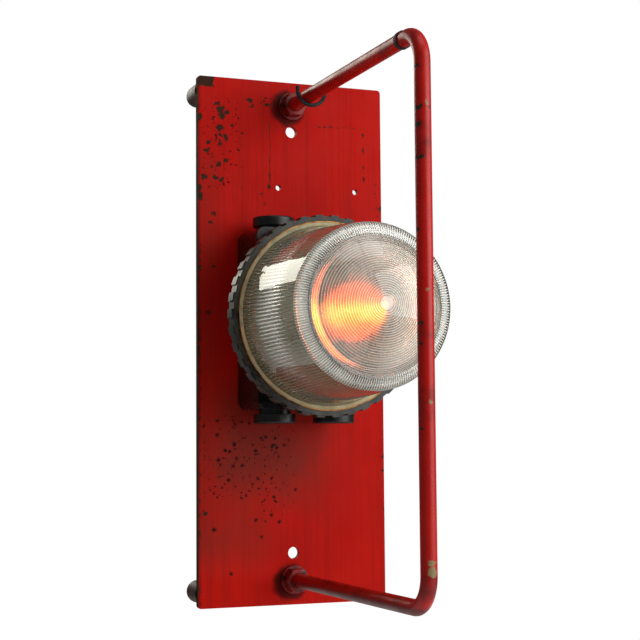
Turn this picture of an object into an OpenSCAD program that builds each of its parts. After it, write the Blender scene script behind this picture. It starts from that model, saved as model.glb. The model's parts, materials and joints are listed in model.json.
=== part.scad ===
// Barrier warning lamp: a glass lantern on a moulded base, carried by a red steel
// plate with a bent guard bar in front of the glass.
// Origin: middle of the plate's back face. +Z is up and the lamp faces -Y.

/* [Back plate] */
// Width of the plate
plate_w = 170; // [160:1:200]
// Height of the plate
plate_h = 450; // [430:1:500]
// Thickness of the plate
plate_t = 5; // [4:0.5:8]
// Corner radius of the plate
plate_corner = 3; // [2:1:12]
// Distance between the two wall fixing holes
wall_hole_spacing = 363; // [340:1:380]
// Diameter of a wall fixing hole
wall_hole_d = 10; // [8:0.5:12]
// Distance between the two sign fixing holes
sign_hole_spacing = 72; // [60:1:90]
// Diameter of a sign fixing hole
sign_hole_d = 5; // [4:0.5:6]
// Sideways offset of the sign holes' middle
sign_hole_x = 24; // [10:1:40]
// Height of the sign holes above the plate's middle
sign_hole_z = 132; // [125:1:150]

/* [Stand-off pegs] */
// Diameter of a peg
peg_d = 19; // [14:1:22]
// Length of a peg behind the plate
peg_l = 33; // [25:1:40]
// Distance between the pegs, side to side
peg_spacing_x = 153; // [140:1:156]
// Distance between the pegs, top to bottom
peg_spacing_z = 426; // [400:1:432]

/* [Guard bar] */
// Diameter of the guard's rod
rod_d = 12; // [10:1:14]
// Distance between the axes of the guard's legs
guard_h = 408; // [395:1:412]
// Distance from the plate's front to the axis of the upright
guard_reach = 264; // [262:1:300]
// Bend radius of the rod's axis
guard_bend = 24; // [18:1:40]

/* [Lamp] */
// Height of the lamp's axis above the plate's middle
lamp_z = 14.5; // [-20:0.5:20]
// Width of the base box
base_w = 100; // [94:1:106]
// Height of the base box
base_h = 150; // [146:1:156]
// Depth of the base box
base_d = 50; // [46:1:52]
// Number of square lugs on the clamp ring
lug_count = 38; // [24:1:48]
// Distance between the axes of two neighbouring cable entries
entry_spacing = 53; // [48:1:56]
// Diameter of an entry cap
entry_cap_d = 35; // [32:1:38]

/* [Glass] */
// Outer radius of the glass where the clamp ring holds it
glass_foot_r = 73.4; // [72:0.1:73.6]
// Outer radius of the glass just in front of the clamp ring
glass_r_back = 71.8; // [70:0.1:72]
// Outer radius of the glass at its shoulder
glass_r_front = 64.5; // [60:0.5:66]
// Distance from the plate to the glass's front face
glass_front = 182; // [175:1:185]
// Wall thickness of the glass
glass_wall = 4; // [3:0.5:5]

/* [Hidden] */
$fn = 96;
hex_sides = 6;
clearance = 0.3;
lap = 0.5;

// Guard hardware
rod_r = rod_d / 2;
thread_bore_r = rod_r + 0.05;
nut_across_flats = 19;
nut_h = 10;
washer_r = 12;
washer_t = 2.5;
rod_tail = washer_t + nut_h + 3;
upright_y = -(plate_t + guard_reach);

// Black cord on the upper leg: an open hook near the plate and a band near the bend
cord_r = 1.65;
hook_r = 12.5;
hook_centre = [1.6, 4.5];
hook_arm = 3;
hook_end = 10;
hook_depth = 45;
band_t = 0.8;
band_w = 4;
band_depth = 232;

// Depths below are measured from the plate's front face towards the lamp's nose
gasket_t = 2;
base_front = gasket_t + base_d;
base_floor = 4;
base_wall = 4;
base_corner = 7;
collar_r = 78.7;
collar_inner_r = 72;
collar_back = 64;
collar_front = 75.9;
dish_back = 48;
dish_back_r = 58;
dish_wall = 5;
housing_mouth_r = 43;
seat_t = 1.2;
flange_back = collar_front + seat_t + clearance;
flange_front = 79.9;
flange_r = 78.4;
gasket_step = 81.3;
gasket_front = 83.7;
gasket_r = 76.25;
slip_t = 0.3;
slip_front = 84.1;

// Clamp ring
ring_bore_r = collar_r + clearance;
ring_body_r = 81;
ring_lug_r = 82.5;
ring_back = 71.5;
ring_front = 83.5;
ring_lip_back = 81.9;
ring_lip_r = 77.4;
lug_duty = 0.52;

// Cable entries
entry_depth = gasket_t + 25;
neck_r = 13.5;
neck_bore_r = 9;
neck_h = 7.5;
seal_t = 1.2;
cap_start = base_h / 2 + 3.5;
cap_end = base_h / 2 + 11.5;
cap_inner_end = base_h / 2 + neck_h + seal_t + clearance;
gland_bore_r = 6;

// Glass and its lens
shoulder_r = 10;
lens_r = 53;
lens_nose = glass_front + 19.5;
lens_sphere_r = 76;
boss_r = 4.8;
boss_h = 1.5;

// Base fixings
fixing_x = 36;
fixing_y = 56;
fixing_r = 2.5;
fixing_head_r = 4.8;
fixing_head_h = 3.5;

// Lampholder and bulb
bracket_t = 2;
bracket_w = 22;
bracket_top = 28;
bracket_half = 41;
holder_r = 22;
holder_back = bracket_top;
holder_front = 76;
shell_bore_r = 13.9;
shell_back = 46;
bulb_tip = 50;
bulb_cap_r = 13.2;
bulb_cap_front = 78;
bulb_r = 30;
bulb_middle = 124;
block_y = -56;

// Route of the live wire, in lamp coordinates: across, up, out
live_route = [[-7, -53, 14], [-7, -47, 14], [-8, -41, 14], [-10, -35, 17], [-12, -30, 22], [-13, -27, 29],
              [-13, -25, 36]];

/* Placement */

// Lamp coordinates: X across, Y up from the lamp's axis, Z out from the plate's front
module lamp_frame() {
  translate([0, -plate_t, lamp_z]) rotate([90, 0, 0]) children();
}

// Repeats a shape at +z and -z
module above_and_below(z) {
  for (side = [-1, 1]) translate([0, 0, side * z]) children();
}

// Places a shape that points along +Y in lamp coordinates at one cable entry
module at_entry(x_side, y_side) {
  lamp_frame()
    translate([x_side * entry_spacing / 2, 0, entry_depth])
      rotate([y_side > 0 ? 0 : 180, 0, 0])
        rotate([-90, 0, 0]) children();
}

/* Shared shapes */

module rounded_box(w, h, d, r) {
  linear_extrude(d) rounded_outline(w, h, r);
}

module rounded_outline(w, h, r) {
  square([w - 2 * r, h], center = true);
  square([w, h - 2 * r], center = true);
  for (x = [-1, 1], y = [-1, 1])
    translate([x * (w / 2 - r), y * (h / 2 - r)]) circle(r);
}

module ring_profile(inner, outer, low, high) {
  translate([inner, low]) square([outer - inner, high - low]);
}

module tube(inner, outer, low, high) {
  rotate_extrude() ring_profile(inner, outer, low, high);
}

// Hexagon nut standing on z = 0, chamfered on its outer face
module hex_nut(flats, h, bore_r) {
  corner_r = flats / 2 / cos(180 / hex_sides);
  chamfer = corner_r - flats / 2;
  difference() {
    intersection() {
      cylinder(h = h, r = corner_r, $fn = hex_sides);
      rotate_extrude()
        polygon([[0, 0], [corner_r, 0], [corner_r, h - chamfer * 0.6], [flats / 2 - 0.5, h], [0, h]]);
    }
    translate([0, 0, -1]) cylinder(h = h + 2, r = bore_r);
  }
}

// Pan-head screw: head above z = 0, shank below, with a straight slot
module pan_screw(head_r, head_h, shank_r, shank_l) {
  difference() {
    union() {
      cylinder(h = head_h, r = head_r);
      translate([0, 0, -shank_l]) cylinder(h = shank_l + lap, r = shank_r);
    }
    translate([-head_r - 1, -head_r * 0.12, head_h * 0.55]) cube([2 * head_r + 2, head_r * 0.24, head_h]);
  }
}

/* Plate and guard */

module back_plate() {
  color([0.66, 0.11, 0.08])
    rotate([90, 0, 0]) difference() {
      rounded_box(plate_w, plate_h, plate_t, plate_corner);
      for (side = [-1, 1]) {
        translate([0, side * wall_hole_spacing / 2, -1]) cylinder(h = plate_t + 2, d = wall_hole_d);
        translate([0, side * guard_h / 2, -1]) cylinder(h = plate_t + 2, r = rod_r + 0.3);
        translate([sign_hole_x + side * sign_hole_spacing / 2, sign_hole_z, -1])
          cylinder(h = plate_t + 2, d = sign_hole_d);
      }
      for (x = [-1, 1], y = [-1, 1])
        translate([x * fixing_x, lamp_z + y * fixing_y, -1]) cylinder(h = plate_t + 2, r = fixing_r + 0.2);
    }
}

module standoff_peg() {
  r = peg_d / 2;
  rotate_extrude() {
    square([r, peg_l - r]);
    translate([0, peg_l - r]) intersection() {
      circle(r);
      square(r);
    }
  }
}

module standoff_pegs() {
  color([0.35, 0.2, 0.16])
    for (x = [-1, 1], z = [-1, 1])
      translate([x * peg_spacing_x / 2, 0, z * peg_spacing_z / 2]) rotate([-90, 0, 0]) standoff_peg();
}

module guard_half() {
  leg_l = rod_tail + plate_t + guard_reach - guard_bend;
  // Leg, from its threaded tail to the bend
  translate([0, rod_tail, guard_h / 2]) rotate([90, 0, 0]) cylinder(h = leg_l, r = rod_r);
  // Bend
  translate([0, upright_y + guard_bend, guard_h / 2 - guard_bend])
    rotate([0, -90, 0]) rotate([180, 0, 0])
      rotate_extrude(angle = 90) translate([guard_bend, 0]) circle(rod_r);
  // Half of the upright
  translate([0, upright_y, 0]) cylinder(h = guard_h / 2 - guard_bend, r = rod_r);
}

module guard_bar() {
  color([0.66, 0.11, 0.08]) {
    guard_half();
    mirror([0, 0, 1]) guard_half();
  }
}

module plain_washer() {
  tube(rod_r + 0.3, washer_r, 0, washer_t);
}

module guard_front_washers() {
  color([0.6, 0.1, 0.08])
    above_and_below(guard_h / 2) translate([0, -plate_t, 0]) rotate([90, 0, 0]) plain_washer();
}

module guard_front_nuts() {
  color([0.6, 0.1, 0.08])
    above_and_below(guard_h / 2)
      translate([0, -plate_t - washer_t, 0]) rotate([90, 0, 0]) hex_nut(nut_across_flats, nut_h, thread_bore_r);
}

module guard_rear_washers() {
  color([0.5, 0.1, 0.08])
    above_and_below(guard_h / 2) rotate([-90, 0, 0]) plain_washer();
}

module guard_rear_nuts() {
  color([0.5, 0.1, 0.08])
    above_and_below(guard_h / 2)
      translate([0, washer_t, 0]) rotate([-90, 0, 0]) hex_nut(nut_across_flats, nut_h, thread_bore_r);
}

// Short open hook of stiff black cord that bears on the upper leg from below
module cord_hook() {
  color([0.06, 0.06, 0.06])
    translate([0, -plate_t - hook_depth, guard_h / 2]) rotate([90, 0, 0]) translate(hook_centre) {
      rotate([0, 0, 180]) rotate_extrude(angle = 180 + hook_end) translate([hook_r, 0]) circle(cord_r);
      translate([-hook_r, 0, 0]) rotate([-90, 0, 0]) cylinder(h = hook_arm, r = cord_r);
    }
}

module cord_band() {
  color([0.06, 0.06, 0.06])
    translate([0, -plate_t - band_depth, guard_h / 2]) rotate([90, 0, 0])
      tube(rod_r + 0.05, rod_r + 0.05 + band_t, -band_w / 2, band_w / 2);
}

/* Base */

module base_gasket() {
  color([0.1, 0.1, 0.1])
    lamp_frame() difference() {
      rounded_box(base_w - 2, base_h - 2, gasket_t, base_corner - 1);
      translate([0, 0, -1]) rounded_box(base_w - 44, base_h - 60, gasket_t + 2, base_corner - 6);
      for (x = [-1, 1], y = [-1, 1])
        translate([x * fixing_x, y * fixing_y, -1]) cylinder(h = gasket_t + 2, r = fixing_r + 0.2);
    }
}

module base_housing() {
  hollow_d = base_front - base_wall - gasket_t - base_floor;
  color([0.06, 0.07, 0.06])
    difference() {
      union() {
        lamp_frame() translate([0, 0, gasket_t]) rounded_box(base_w, base_h, base_d, base_corner);
        lamp_frame() {
          translate([0, 0, dish_back]) cylinder(h = collar_back - dish_back, r1 = dish_back_r, r2 = collar_r);
          translate([0, 0, collar_back]) cylinder(h = collar_front - collar_back, r = collar_r);
        }
        for (x = [-1, 1], y = [-1, 1])
          at_entry(x, y) cylinder(h = base_h / 2 + neck_h, r = neck_r);
      }
      lamp_frame() {
        // Hollow of the box, open into the collar
        translate([0, 0, gasket_t + base_floor])
          rounded_box(base_w - 2 * base_wall, base_h - 2 * base_wall, hollow_d, base_corner - base_wall);
        translate([0, 0, dish_back - base_wall]) cylinder(h = base_front, r = housing_mouth_r);
        translate([0, 0, base_front])
          cylinder(h = collar_back - base_front + lap, r1 = dish_back_r - dish_wall, r2 = collar_inner_r);
        translate([0, 0, collar_back + lap]) cylinder(h = base_front, r = collar_inner_r);
        for (x = [-1, 1], y = [-1, 1])
          translate([x * fixing_x, y * fixing_y, 0]) cylinder(h = gasket_t + base_floor + 1, r = fixing_r + 0.2);
        for (x = [-1, 1])
          translate([x * (bracket_half - 5), 0, 0]) cylinder(h = gasket_t + base_floor + 1, r = 1.95);
      }
      for (x = [-1, 1], y = [-1, 1])
        at_entry(x, y) translate([0, 0, base_h / 2 - base_wall - 1]) cylinder(h = 30, r = neck_bore_r);
    }
}

module base_screws() {
  color([0.6, 0.6, 0.58])
    lamp_frame() for (x = [-1, 1], y = [-1, 1])
      translate([x * fixing_x, y * fixing_y, gasket_t + base_floor])
        pan_screw(fixing_head_r, fixing_head_h, fixing_r, gasket_t + base_floor + plate_t + 7);
}

module base_washers() {
  color([0.6, 0.6, 0.58])
    for (x = [-1, 1], y = [-1, 1])
      translate([x * fixing_x, 0, lamp_z + y * fixing_y]) rotate([-90, 0, 0]) tube(fixing_r + 0.2, 5, 0, 1);
}

module base_nuts() {
  color([0.6, 0.6, 0.58])
    for (x = [-1, 1], y = [-1, 1])
      translate([x * fixing_x, 1, lamp_z + y * fixing_y]) rotate([-90, 0, 0]) hex_nut(8, 4, fixing_r + 0.05);
}

/* Cable entries */

module seal_disc(bore_r) {
  translate([0, 0, base_h / 2 + neck_h])
    if (bore_r > 0) tube(bore_r, neck_r - 0.5, 0, seal_t);
    else cylinder(h = seal_t, r = neck_r - 0.5);
}

module entry_seals() {
  color([0.12, 0.12, 0.12]) {
    at_entry(-1, 1) seal_disc(0);
    at_entry(1, 1) seal_disc(0);
    at_entry(-1, -1) seal_disc(0);
  }
}

module entry_gland_seal() {
  color([0.12, 0.12, 0.12]) at_entry(1, -1) seal_disc(gland_bore_r - 0.5);
}

// Screw cap with a rounded outer edge, its mouth over the entry's neck
module entry_cap_shape() {
  r = entry_cap_d / 2;
  edge = 1.5;
  rotate_extrude() difference() {
    union() {
      translate([0, cap_start]) square([r, cap_end - cap_start - edge]);
      translate([0, cap_start]) square([r - edge, cap_end - cap_start]);
      translate([r - edge, cap_end - edge]) circle(edge);
    }
    translate([-1, cap_start - 1]) square([neck_r + clearance + 1, cap_inner_end - cap_start + 1]);
  }
}

module blank_cap() {
  difference() {
    entry_cap_shape();
    // Coin slot
    translate([-8, -1, cap_end - 1]) cube([16, 2, 2]);
  }
}

module entry_cap_top_left() {
  color([0.05, 0.06, 0.05]) at_entry(-1, 1) blank_cap();
}

module entry_cap_top_right() {
  color([0.05, 0.06, 0.05]) at_entry(1, 1) blank_cap();
}

module entry_cap_bottom_left() {
  color([0.05, 0.06, 0.05]) at_entry(-1, -1) blank_cap();
}

// The open entry, for the supply cable
module entry_gland_nut() {
  color([0.05, 0.06, 0.05])
    at_entry(1, -1) difference() {
      entry_cap_shape();
      translate([0, 0, cap_start]) cylinder(h = 20, r = gland_bore_r);
    }
}

/* Clamp ring, glass and seals */

module clamp_ring() {
  lug_angle = 360 / lug_count;
  lug_w = 2 * PI * ring_body_r / lug_count * lug_duty;
  color([0.12, 0.13, 0.11])
    lamp_frame() difference() {
      union() {
        translate([0, 0, ring_back]) cylinder(h = ring_front - ring_back, r = ring_body_r);
        intersection() {
          translate([0, 0, ring_back + 0.5]) cylinder(h = ring_front - ring_back - 1.3, r = ring_lug_r);
          for (i = [0:lug_count - 1])
            rotate([0, 0, i * lug_angle])
              translate([ring_body_r - 1, -lug_w / 2, ring_back]) cube([4, lug_w, ring_front - ring_back]);
        }
      }
      translate([0, 0, ring_back - 1]) cylinder(h = ring_lip_back - ring_back + 1, r = ring_bore_r);
      translate([0, 0, ring_back]) cylinder(h = ring_front, r = ring_lip_r);
    }
}

module slip_ring() {
  color([0.62, 0.42, 0.22])
    lamp_frame() rotate_extrude() {
      ring_profile(gasket_r + 0.05, gasket_r + 0.85, gasket_step, slip_front);
      ring_profile(gasket_r + 0.05, flange_r, gasket_step, gasket_step + slip_t);
    }
}

module glass_gasket() {
  color([0.72, 0.69, 0.5])
    lamp_frame() rotate_extrude() {
      ring_profile(glass_foot_r + 0.1, gasket_r, flange_front, gasket_front);
      ring_profile(glass_foot_r + 0.1, flange_r, flange_front, gasket_step);
    }
}

// Half outline of the globe, drawn in by inset on every face
module globe_outline(inset) {
  foot_end = gasket_front + 0.3;
  wall_back = foot_end + 3.5;
  shoulder_axis = glass_r_front - shoulder_r;
  shoulder_z = glass_front - shoulder_r;
  polygon([[0, flange_back - 1], [glass_foot_r - inset, flange_back - 1], [glass_foot_r - inset, foot_end],
           [glass_r_back - inset, wall_back], [glass_r_front - inset, shoulder_z], [0, shoulder_z]]);
  translate([shoulder_axis, shoulder_z]) circle(shoulder_r - inset);
  translate([0, shoulder_z - 1]) square([shoulder_axis, shoulder_r - inset + 1]);
  intersection() {
    translate([0, lens_nose - lens_sphere_r]) circle(lens_sphere_r - inset);
    translate([0, shoulder_z]) square([lens_r, lens_sphere_r]);
  }
}

module glass_globe() {
  color([0.85, 0.9, 0.85, 0.4])
    lamp_frame() rotate_extrude() difference() {
      union() {
        intersection() {
          globe_outline(0);
          translate([0, flange_back]) square([100, 200]);
        }
        ring_profile(60, flange_r, flange_back, flange_front);
        translate([0, lens_nose - 1]) square([boss_r, boss_h + 1]);
      }
      globe_outline(glass_wall);
      translate([-100, 0]) square([100, 300]);
      ring_profile(0, glass_foot_r - glass_wall, flange_back - 2, flange_front);
    }
}

module seat_gasket() {
  color([0.08, 0.08, 0.08])
    lamp_frame() tube(collar_inner_r - 1, flange_r - 0.5, collar_front, collar_front + seat_t);
}

/* Lampholder */

module lampholder_bracket() {
  floor_z = gasket_t + base_floor;
  foot = 12;
  arm_x = bracket_half - foot;
  color([0.55, 0.55, 0.52])
    lamp_frame() difference() {
      translate([0, bracket_w / 2, 0]) rotate([90, 0, 0]) linear_extrude(bracket_w) {
        translate([-arm_x, bracket_top - bracket_t]) square([2 * arm_x, bracket_t]);
        for (side = [0, 1])
          mirror([side, 0]) {
            translate([arm_x - bracket_t, floor_z]) square([bracket_t, bracket_top - floor_z]);
            translate([arm_x - bracket_t, floor_z]) square([foot, bracket_t]);
          }
      }
      for (x = [-1, 1]) {
        translate([x * (bracket_half - 5), 0, 0]) cylinder(h = bracket_top, r = 2.2);
        translate([x * 9, 0, 0]) cylinder(h = bracket_top + 1, r = 2.2);
      }
    }
}

module bracket_screws() {
  color([0.6, 0.6, 0.58])
    lamp_frame() for (x = [-1, 1])
      translate([x * (bracket_half - 5), 0, gasket_t + base_floor + bracket_t]) pan_screw(3.8, 2.8, 1.9, 5.5);
}

module lampholder_body() {
  color([0.92, 0.9, 0.84])
    lamp_frame() difference() {
      rotate_extrude() difference() {
        polygon([[0, holder_back], [holder_r, holder_back], [holder_r, 60], [holder_r - 2, 62],
                 [holder_r - 2, holder_front - 2], [holder_r - 4, holder_front], [0, holder_front]]);
        translate([-1, shell_back - 2]) square([13.9, 60]);
        translate([-1, shell_back]) square([shell_bore_r + 1.85, 60]);
      }
      for (x = [-1, 1]) {
        translate([x * 9, 0, 0]) cylinder(h = 60, r = 2.2);
        // Side pocket for a terminal
        translate([x * 13, -holder_r, 36]) cube([9, 9, 8], center = true);
      }
    }
}

module lampholder_screws() {
  color([0.6, 0.6, 0.58])
    lamp_frame() for (x = [-1, 1])
      translate([x * 9, 0, shell_back - 2]) pan_screw(3.6, 1.6, 1.95, shell_back - bracket_top + 1);
}

module lampholder_shell() {
  color([0.75, 0.6, 0.3])
    lamp_frame() rotate_extrude() {
      ring_profile(shell_bore_r, shell_bore_r + 0.8, shell_back, holder_front - 3);
      ring_profile(12.8, shell_bore_r + 0.8, shell_back, shell_back + 0.8);
    }
}

// Centre contact: a bent brass tongue with a raised pad
module lampholder_contact() {
  color([0.75, 0.6, 0.3])
    lamp_frame() translate([0, 3.5, 0]) rotate([90, 0, 0]) linear_extrude(7) {
      translate([-4, shell_back - 2]) square([8, 1]);
      translate([-4, shell_back - 2]) square([1, 5]);
      translate([-4, bulb_tip - 2.1]) square([8, 1]);
      translate([-1.5, bulb_tip - 1.3]) square([3, 1]);
    }
}

module lampholder_terminals() {
  color([0.75, 0.6, 0.3])
    lamp_frame() for (x = [-1, 1]) translate([x * 13, -holder_r + 1, 36]) rotate([90, 0, 0]) {
      translate([0, 0, -3]) cylinder(h = 4, r = 3);
      translate([0, 0, 1]) pan_screw(2.6, 1.6, 1.2, 2);
    }
}

/* Terminal block and wires */

module terminal_block() {
  color([0.9, 0.88, 0.82])
    lamp_frame() translate([0, block_y, gasket_t + base_floor]) difference() {
      union() {
        rounded_box(36, 16, 15, 3);
        translate([0, 0, 0]) rounded_box(48, 10, 4, 4);
      }
      for (x = [-1, 1]) {
        translate([x * 7, 20, 8]) rotate([90, 0, 0]) cylinder(h = 40, r = 3.6);
        translate([x * 7, 0, 8]) cylinder(h = 10, r = 2.6);
      }
      for (x = [-1, 1]) translate([x * 21, 0, -1]) cylinder(h = 10, r = 1.6);
    }
}

module terminal_clamps() {
  color([0.75, 0.6, 0.3])
    lamp_frame() for (x = [-1, 1])
      translate([x * 7, block_y, gasket_t + base_floor + 8]) rotate([90, 0, 0]) difference() {
        cylinder(h = 13, r = 3.5, center = true);
        cylinder(h = 14, r = 1.8, center = true);
        translate([0, 2.6, 0]) rotate([-90, 0, 0]) cylinder(h = 4, r = 1.5, center = true);
      }
}

module terminal_screws() {
  color([0.7, 0.6, 0.35])
    lamp_frame() for (x = [-1, 1])
      translate([x * 7, block_y, gasket_t + base_floor + 12.2]) pan_screw(2.4, 2, 1.45, 2.2);
}

function unit(v) = v / norm(v);

// Sweeps a round section along a list of points that all lie near one plane
module sweep(points, r, sides) {
  last = len(points) - 1;
  heading = [for (i = [0:last]) unit(points[min(i + 1, last)] - points[max(i - 1, 0)])];
  across = [for (h = heading) unit(cross([1, 0, 0], h))];
  rings = [for (i = [0:last], k = [0:sides - 1])
    let (a = 360 * k / sides, other = cross(heading[i], across[i]))
      points[i] + r * (cos(a) * across[i] + sin(a) * other)];
  walls = [for (i = [0:last - 1], k = [0:sides - 1])
    let (n = (k + 1) % sides)
      [i * sides + k, (i + 1) * sides + k, (i + 1) * sides + n, i * sides + n]];
  start_face = [for (k = [0:sides - 1]) k];
  end_face = [for (k = [sides - 1:-1:0]) last * sides + k];
  polyhedron(points = rings, faces = concat(walls, [start_face], [end_face]), convexity = 4);
}

module wire(route) {
  lamp_frame() sweep(route, 1.3, 8);
}

module live_wire() {
  color([0.45, 0.25, 0.12]) wire(live_route);
}

module neutral_wire() {
  color([0.15, 0.25, 0.5]) wire([for (p = live_route) [-p[0], p[1], p[2]]]);
}

/* Bulb */

module bulb_cap() {
  color([0.75, 0.62, 0.35])
    lamp_frame() rotate_extrude() {
      ring_profile(bulb_cap_r - 0.6, bulb_cap_r, bulb_tip + 5, bulb_cap_front);
      polygon([[bulb_cap_r - 0.6, bulb_tip + 6], [bulb_cap_r, bulb_tip + 6], [bulb_cap_r, bulb_tip + 5],
               [10, bulb_tip + 2], [9.4, bulb_tip + 2], [9.4, bulb_tip + 2.6], [bulb_cap_r - 0.6, bulb_tip + 5.5]]);
    }
}

module bulb_insulator() {
  color([0.1, 0.08, 0.1])
    lamp_frame() rotate_extrude()
      polygon([[0, bulb_tip + 1], [5, bulb_tip + 1], [9.3, bulb_tip + 2.3], [9.3, bulb_tip + 3.5], [0, bulb_tip + 3.5]]);
}

module bulb_tip_contact() {
  color([0.7, 0.7, 0.68])
    lamp_frame() translate([0, 0, bulb_tip]) cylinder(h = 1, r = 3.8);
}

// Half outline of the bulb's envelope, drawn in by inset
module envelope_outline(inset) {
  neck = bulb_cap_r - 0.7;
  translate([0, bulb_middle]) circle(bulb_r - inset);
  polygon([[0, bulb_cap_front - 6], [neck - inset, bulb_cap_front - 6], [neck - inset, bulb_cap_front],
           [neck + 4 - inset, bulb_cap_front + 9], [25.98 - inset * 0.87, bulb_middle - 15 + inset * 0.5],
           [0, bulb_middle]]);
}

module bulb_glass() {
  color([0.95, 0.9, 0.8, 0.35])
    lamp_frame() rotate_extrude() difference() {
      envelope_outline(0);
      envelope_outline(0.8);
      translate([-100, 0]) square([100, 300]);
    }
}

module bulb_stem() {
  color([0.9, 0.92, 0.92, 0.5])
    lamp_frame() rotate_extrude()
      polygon([[0, bulb_cap_front - 5], [11.4, bulb_cap_front - 5], [11.4, bulb_cap_front - 4], [4, bulb_cap_front + 4],
               [3, bulb_cap_front + 18], [0, bulb_cap_front + 18]]);
}

// Two lead-in wires, a glass-mounted support and a coiled filament drawn as a plain zigzag
module bulb_filament() {
  low = bulb_cap_front + 10;
  high = bulb_middle - 2;
  color([0.9, 0.75, 0.4])
    lamp_frame() {
      for (x = [-1, 1]) translate([x * 4, 0, low]) rotate([0, x * 17, 0]) cylinder(h = 32, r = 0.35);
      for (i = [0:7])
        translate([-12.6 + i * 3.15, 0, high - 5.4]) rotate([0, i % 2 == 0 ? 30 : 150, 0])
          cylinder(h = 6.3, r = 0.5, center = true);
    }
}

back_plate();
standoff_pegs();
guard_bar();
guard_front_washers();
guard_front_nuts();
guard_rear_washers();
guard_rear_nuts();
cord_hook();
cord_band();
base_gasket();
base_housing();
base_screws();
base_washers();
base_nuts();
entry_seals();
entry_gland_seal();
entry_cap_top_left();
entry_cap_top_right();
entry_cap_bottom_left();
entry_gland_nut();
clamp_ring();
slip_ring();
glass_gasket();
glass_globe();
seat_gasket();
lampholder_bracket();
bracket_screws();
lampholder_body();
lampholder_screws();
lampholder_shell();
lampholder_contact();
lampholder_terminals();
terminal_block();
terminal_clamps();
terminal_screws();
live_wire();
neutral_wire();
bulb_cap();
bulb_insulator();
bulb_tip_contact();
bulb_glass();
bulb_stem();
bulb_filament();
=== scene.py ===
"""Looks of a barrier warning lamp: ribbed glass, black base and a worn red plate with its guard bar."""

import json
import math

import bmesh
import bpy
from mathutils import Matrix, Vector


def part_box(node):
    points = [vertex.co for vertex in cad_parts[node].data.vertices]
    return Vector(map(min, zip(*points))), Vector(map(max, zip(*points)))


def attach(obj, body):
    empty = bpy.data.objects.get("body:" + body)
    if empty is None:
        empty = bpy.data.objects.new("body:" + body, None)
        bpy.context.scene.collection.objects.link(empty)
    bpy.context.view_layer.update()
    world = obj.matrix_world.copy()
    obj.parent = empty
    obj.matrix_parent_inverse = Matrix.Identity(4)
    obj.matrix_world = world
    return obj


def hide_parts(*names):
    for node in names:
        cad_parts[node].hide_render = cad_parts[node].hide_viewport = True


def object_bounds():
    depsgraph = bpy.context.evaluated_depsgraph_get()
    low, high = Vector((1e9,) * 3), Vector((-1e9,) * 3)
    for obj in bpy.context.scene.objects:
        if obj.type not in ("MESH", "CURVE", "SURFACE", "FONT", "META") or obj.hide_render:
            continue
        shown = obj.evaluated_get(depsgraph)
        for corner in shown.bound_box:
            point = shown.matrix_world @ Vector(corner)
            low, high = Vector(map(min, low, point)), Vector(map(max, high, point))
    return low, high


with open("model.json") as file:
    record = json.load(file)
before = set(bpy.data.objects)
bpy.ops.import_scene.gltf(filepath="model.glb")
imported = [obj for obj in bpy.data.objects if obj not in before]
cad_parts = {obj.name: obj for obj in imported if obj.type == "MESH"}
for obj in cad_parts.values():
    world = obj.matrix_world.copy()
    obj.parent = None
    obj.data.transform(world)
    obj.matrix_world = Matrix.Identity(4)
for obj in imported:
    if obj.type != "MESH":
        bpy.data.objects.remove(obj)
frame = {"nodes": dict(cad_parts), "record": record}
CAD_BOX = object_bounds()

MM = 0.001
PLATE_LOW, PLATE_HIGH = (Vector(corner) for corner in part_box("back_plate"))
GLASS_LOW, GLASS_HIGH = (Vector(corner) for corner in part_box("glass_globe"))
GUARD_LOW, GUARD_HIGH = (Vector(corner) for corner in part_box("guard_bar"))
FRONT_Y = PLATE_LOW.y
AXIS_X = (GLASS_LOW.x + GLASS_HIGH.x) / 2
AXIS_Z = (GLASS_LOW.z + GLASS_HIGH.z) / 2


# ---------------------------------------------------------------- camera, light and stage

CAMERA_AIM = Vector((0.0257, FRONT_Y, 0.0180))
CAMERA_AZIMUTH = -21.7
CAMERA_ELEVATION = -4.65
CAMERA_ROLL = -0.44
CAMERA_DISTANCE = 1.3033
CAMERA_LENS = 84.4
SENSOR_WIDTH = 36
FLOOR_HALF = 2.2
FLOOR_DROP = 0.55
WORLD_GREY = (0.97, 0.98, 1.0, 1)
WORLD_DIM = 0.11
CREAM_LIGHT = (1.0, 0.97, 0.84)


def look_from(azimuth, elevation, distance, aim):
    """A point at that distance from aim; azimuth 0 is straight in front of the plate."""
    a, e = math.radians(azimuth), math.radians(elevation)
    away = Vector((math.sin(a) * math.cos(e), -math.cos(a) * math.cos(e), math.sin(e)))
    return aim + away * distance


def add_camera():
    """The photograph's viewpoint."""
    data = bpy.data.cameras.new("camera")
    data.lens = CAMERA_LENS
    data.sensor_width = SENSOR_WIDTH
    data.clip_start = 0.05
    camera = bpy.data.objects.new("camera", data)
    camera.location = look_from(CAMERA_AZIMUTH, CAMERA_ELEVATION, CAMERA_DISTANCE, CAMERA_AIM)
    facing = (CAMERA_AIM - camera.location).to_track_quat("-Z", "Y").to_matrix().to_4x4()
    roll = Matrix.Rotation(math.radians(CAMERA_ROLL), 4, "Z")
    camera.matrix_world = Matrix.Translation(camera.location) @ facing @ roll
    bpy.context.collection.objects.link(camera)
    bpy.context.scene.camera = camera


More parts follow.
